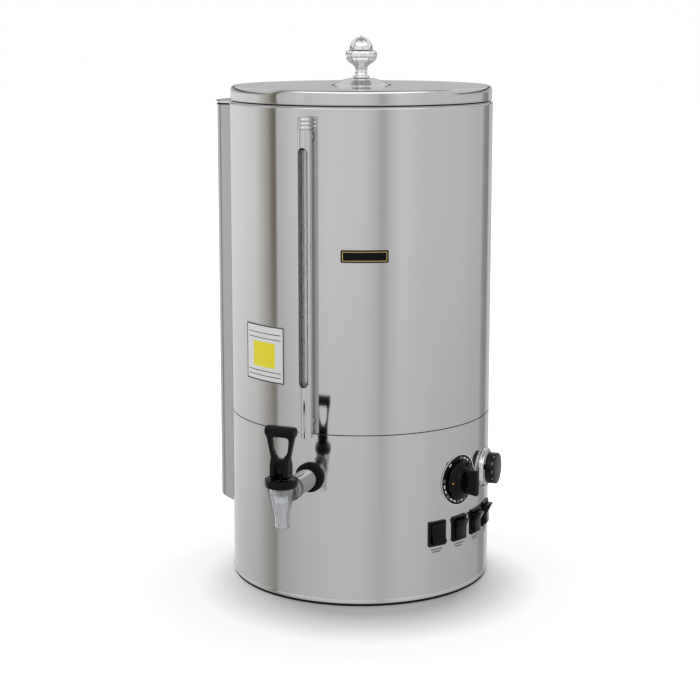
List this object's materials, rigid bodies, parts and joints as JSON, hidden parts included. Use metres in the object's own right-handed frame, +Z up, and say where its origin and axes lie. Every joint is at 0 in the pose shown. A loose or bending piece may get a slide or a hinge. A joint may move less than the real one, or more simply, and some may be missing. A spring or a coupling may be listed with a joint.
{
  "type": "coffee urn",
  "caption": "Double-walled electric coffee urn with a lift-off lid, front tap with a tilting handle, sight gauge, riser column, thermostat, timer and rocker switches.",
  "frame": {"origin": "on the urn's axis at the underside of the foot ring", "axes": "+Z up; the tap and the sight gauge face -Y; the riser column is at -X and the switches at +X"},
  "size_m": [0.3653, 0.432, 0.664],
  "materials": {
    "stainless": "brushed stainless steel, soft vertical reflections",
    "polished_steel": "mirror-polished stainless steel and chrome",
    "zinc_steel": "zinc-plated steel, dull",
    "black_rubber": "black rubber, matt",
    "black_plastic": "black moulded plastic, low gloss",
    "dark_plastic": "dark grey technical plastic",
    "clear_plastic": "clear polycarbonate, slightly milky",
    "glass": "clear glass tube",
    "silicone": "translucent food-grade silicone",
    "copper": "bare copper",
    "heater_steel": "heat-darkened steel sheath",
    "plate_print": "black plate with a thin gold border",
    "label_print": "white write-on label with a black border"
  },
  "bodies": {
    "root": {"foot_ring": "black_rubber", "base_plate": "zinc_steel", "base_screws": "zinc_steel", "lower_housing": "stainless", "support_ring": "zinc_steel", "upper_jacket": "stainless", "tank": "stainless", "outlet_pipe": "stainless", "heating_element": "heater_steel", "overheat_cutout": "dark_plastic", "coffee_basket": "stainless", "circulation_pump": "dark_plastic", "suction_hose": "silicone", "riser_pipe": "stainless", "spray_head": "stainless", "riser_cover": "stainless", "riser_sole": "stainless", "riser_cap": "stainless", "riser_plug": "black_rubber", "gauge_guard": "stainless", "gauge_lower_fitting": "stainless", "gauge_upper_fitting": "stainless", "gauge_glass": "glass", "gauge_seals": "silicone", "gauge_cap": "polished_steel", "gauge_locknuts": "zinc_steel", "tap_shank": "stainless", "tap_gasket": "black_rubber", "tap_locknut": "zinc_steel", "tap_body": "clear_plastic", "tap_bonnet": "black_plastic", "tap_spring": "heater_steel", "thermostat_dial": "black_plastic", "thermostat_body": "dark_plastic", "thermostat_bulb": "copper", "timer_body": "dark_plastic", "timer_bezel": "polished_steel", "switch_frame_1": "black_plastic", "switch_frame_2": "black_plastic", "switch_frame_3": "black_plastic", "switch_frame_4": "black_plastic", "name_plate": "plate_print", "label": "label_print", "cable_gland": "black_plastic"},
    "lid": {"lid_cover": "polished_steel", "lid_liner": "stainless", "lid_gasket": "black_rubber", "lid_knob": "polished_steel", "lid_nut": "zinc_steel"},
    "tap_stem": {"tap_stem": "heater_steel", "tap_seat": "silicone"},
    "tap_handle": {"tap_handle": "black_plastic", "tap_pin": "heater_steel"},
    "thermostat_knob": {"thermostat_knob": "black_plastic"},
    "timer_knob": {"timer_knob": "black_plastic"},
    "rocker_1": {"rocker_1": "black_plastic"},
    "rocker_2": {"rocker_2": "black_plastic"},
    "rocker_3": {"rocker_3": "black_plastic"},
    "rocker_4": {"rocker_4": "black_plastic"}
  },
  "joints": [
    {"name": "lid_lift", "type": "slide", "parent": "root", "child": "lid", "axis": [0, 0, 1], "range_m": [0, 0.25]},
    {"name": "tap_stem_lift", "type": "slide", "parent": "root", "child": "tap_stem", "axis": [0, 0, 1], "range_m": [0, 0.004], "stiffness_N_per_m": 12, "springref_m": -0.006, "deforming": ["tap_spring"]},
    {"name": "tap_handle_tilt", "type": "hinge", "parent": "tap_stem", "child": "tap_handle", "pos_m": [0, -0.241, 0.1815], "axis": [1, 0, 0], "range_deg": [0, 30], "stiffness_Nm_per_rad": 0.02, "springref_deg": -17.19},
    {"name": "thermostat_turn", "type": "hinge", "parent": "root", "child": "thermostat_knob", "pos_m": [0.14977, -0.05629, 0.1404], "axis": [0.9361, -0.3518, 0], "range_deg": [-270, 0]},
    {"name": "timer_turn", "type": "hinge", "parent": "root", "child": "timer_knob", "pos_m": [0.15978, 0.00837, 0.1404], "axis": [0.9986, 0.0523, 0], "range_deg": [-300, 0]},
    {"name": "rocker_1_press", "type": "hinge", "parent": "root", "child": "rocker_1", "pos_m": [0.13311, -0.08878, 0.081], "axis": [0.5548, 0.832, 0], "range_deg": [0, 24]},
    {"name": "rocker_2_press", "type": "hinge", "parent": "root", "child": "rocker_2", "pos_m": [0.14977, -0.05629, 0.081], "axis": [0.3518, 0.9361, 0], "range_deg": [-24, 0]},
    {"name": "rocker_3_press", "type": "hinge", "parent": "root", "child": "rocker_3", "pos_m": [0.15863, -0.02088, 0.081], "axis": [0.1305, 0.9914, 0], "range_deg": [-24, 0]},
    {"name": "rocker_4_press", "type": "hinge", "parent": "root", "child": "rocker_4", "pos_m": [0.15924, 0.01561, 0.081], "axis": [-0.0976, 0.9952, 0], "range_deg": [-24, 0]}
  ],
  "couplings": [
    {"joint": "tap_stem_lift", "follows": "tap_handle_tilt", "m_per_rad": 0.0076}
  ]
}
